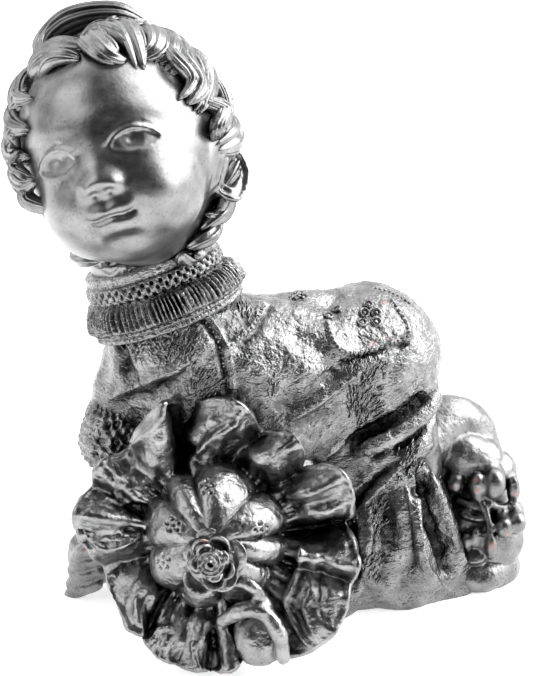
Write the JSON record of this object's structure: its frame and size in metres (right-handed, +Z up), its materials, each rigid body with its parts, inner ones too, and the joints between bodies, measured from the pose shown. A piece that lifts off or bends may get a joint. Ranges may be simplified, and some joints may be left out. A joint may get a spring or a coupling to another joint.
{
  "type": "crawling child figurine",
  "caption": "Silver-painted cast ornament of a crawling child in a gathered dress, its ruffled bonnet with a rose resting against the chest.",
  "frame": {"origin": "on the underside's plane, below the middle of the figure's bounding box", "axes": "+X towards the child's feet, -Y towards the side with the face and the bonnet, +Z up"},
  "size_m": [0.141, 0.0964, 0.1694],
  "materials": {
    "silver_paint": "metallic silver paint, satin, darker in the recesses"
  },
  "bodies": {
    "root": {"crawling_child_figurine": "silver_paint"}
  },
  "joints": []
}
